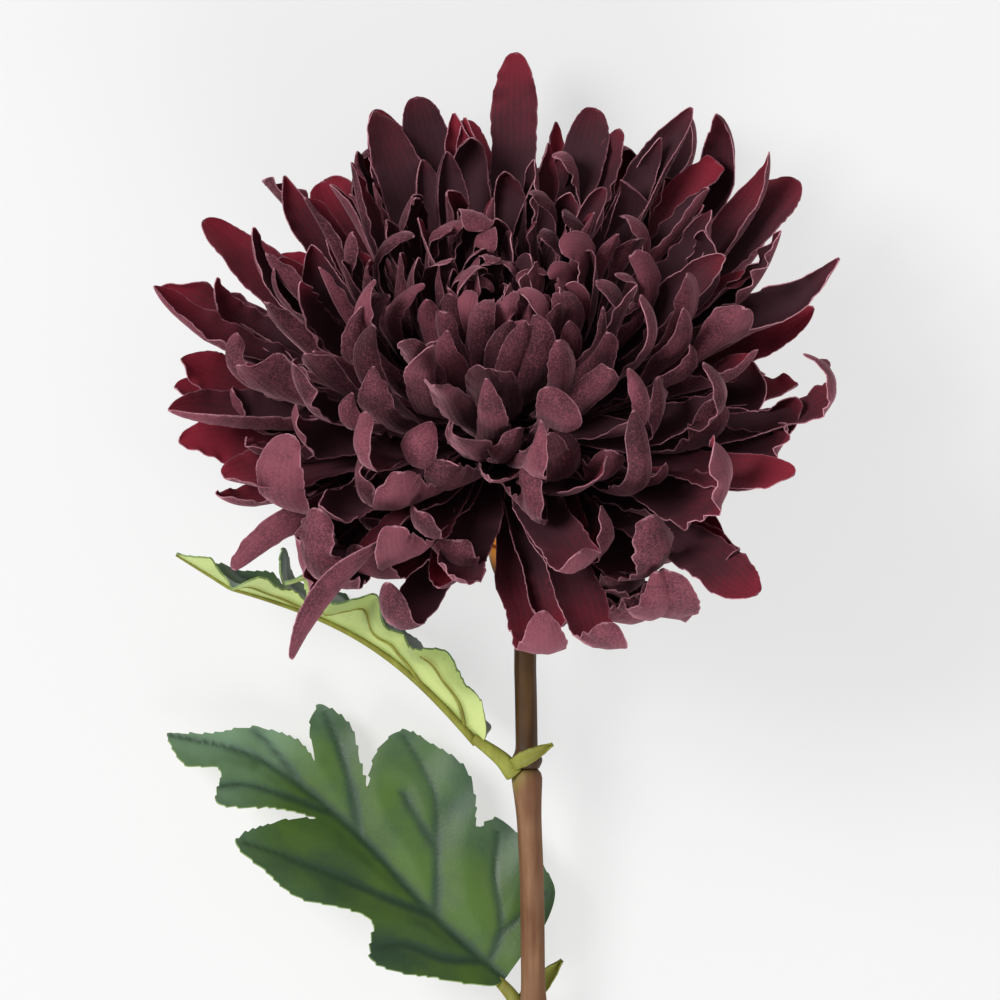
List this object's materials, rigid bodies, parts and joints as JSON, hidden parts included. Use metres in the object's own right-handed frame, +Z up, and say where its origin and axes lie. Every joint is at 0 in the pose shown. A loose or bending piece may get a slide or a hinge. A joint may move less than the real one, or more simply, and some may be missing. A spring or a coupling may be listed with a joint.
{
  "type": "cut chrysanthemum stem",
  "caption": "A single large black plum chrysanthemum of dyed cloth petals on a jointed stem, with lobed green leaves, lying on its side.",
  "frame": {"origin": "on the surface that the flower lies on, under the middle of its bounding box", "axes": "+Z up from that surface; +Y along the stem, from its cut end to the flower head; +X to the right, seen from above with the head at the top"},
  "size_m": [0.15, 0.4026, 0.1106],
  "materials": {
    "petal_cloth": "dull dyed cloth",
    "receptacle_core": "matt",
    "calyx_plastic": "satin",
    "upper_stem_plastic": "satin",
    "stem_plastic": "satin",
    "leaf_cloth": "coated cloth, satin"
  },
  "bodies": {
    "root": {"receptacle": "receptacle_core", "calyx": "calyx_plastic", "petal_whorl_01": "petal_cloth", "petal_whorl_02": "petal_cloth", "petal_whorl_03": "petal_cloth", "petal_whorl_04": "petal_cloth", "petal_whorl_05": "petal_cloth", "petal_whorl_06": "petal_cloth", "petal_whorl_07": "petal_cloth", "petal_whorl_08": "petal_cloth", "petal_whorl_09": "petal_cloth", "petal_whorl_10": "petal_cloth", "petal_whorl_11": "petal_cloth", "petal_whorl_12": "petal_cloth", "petal_whorl_13": "petal_cloth", "petal_whorl_14": "petal_cloth", "stem_upper": "upper_stem_plastic", "stem_lower": "stem_plastic", "leaf_upper": "leaf_cloth", "leaf_lower": "leaf_cloth"}
  },
  "joints": []
}
